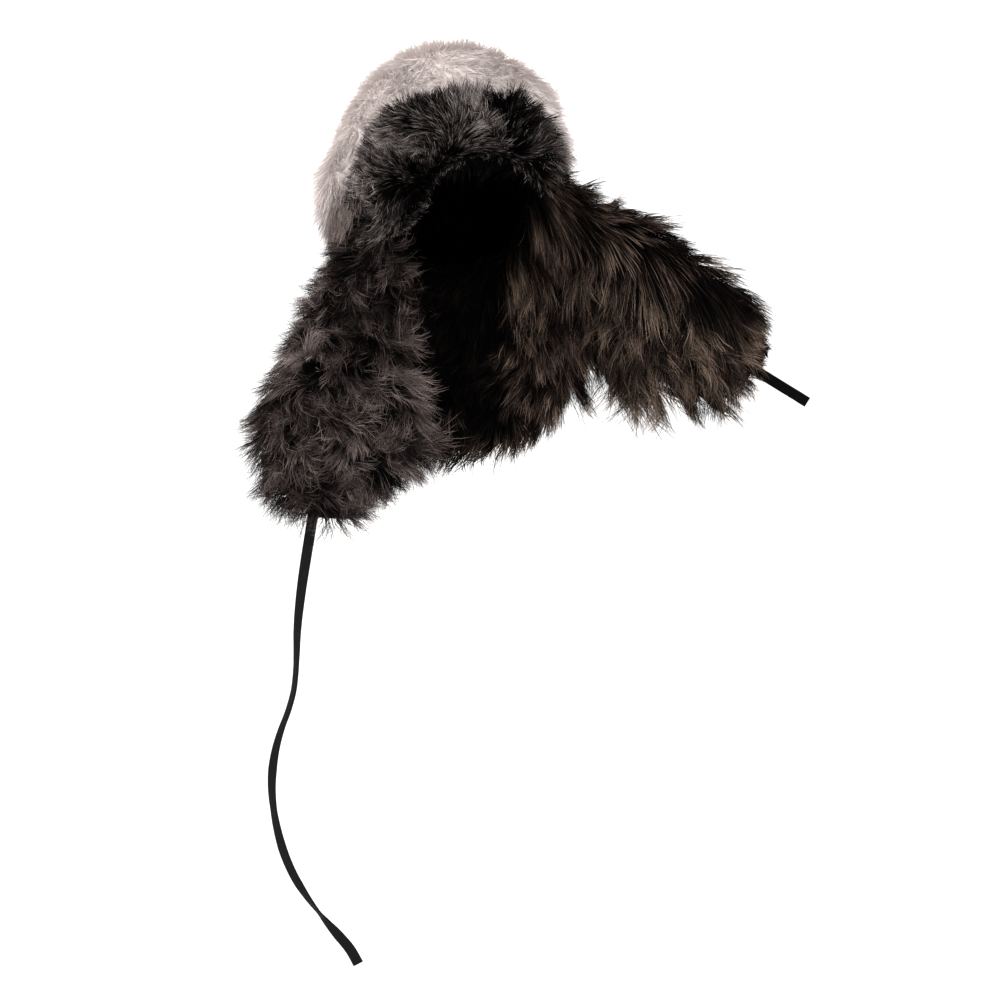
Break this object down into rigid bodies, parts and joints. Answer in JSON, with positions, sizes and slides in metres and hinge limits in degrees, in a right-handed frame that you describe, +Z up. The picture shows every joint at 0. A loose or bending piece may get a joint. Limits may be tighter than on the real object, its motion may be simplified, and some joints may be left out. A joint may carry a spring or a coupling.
{
  "type": "shearling trapper hat",
  "caption": "Shearling trapper hat held up by its crown: fur dome with a dark lining, turned-up front brim, spread ear flaps with flat ties, and a neck flap.",
  "frame": {"origin": "the head seat: the top of the lining's inside, where a head touches it", "axes": "+Z up as the hat hangs, -Y towards the viewer, where its open underside and turned-up brim show, +X towards its right-hand ear flap as seen from the front; the hat is tipped back, leaning and turned in this frame"},
  "size_m": [0.5386, 0.2719, 0.8588],
  "materials": {
    "crown_fur": "deep straight fur, matt",
    "lining_fur": "short dense fur, matt",
    "brim_fur": "deep fur with pale tips, matt",
    "left_flap_fur": "deep curly fur with pale tips, matt",
    "right_flap_fur": "long hanging fur with tan tips, matt",
    "neck_flap_fur": "long hanging fur, matt",
    "tie_strap": "flat woven strap, matt"
  },
  "bodies": {
    "root": {"crown": "crown_fur", "crown_lining": "lining_fur", "front_brim": "brim_fur", "left_ear_flap": "left_flap_fur", "right_ear_flap": "right_flap_fur", "neck_flap": "neck_flap_fur", "left_tie": "tie_strap", "right_tie": "tie_strap"}
  },
  "joints": []
}
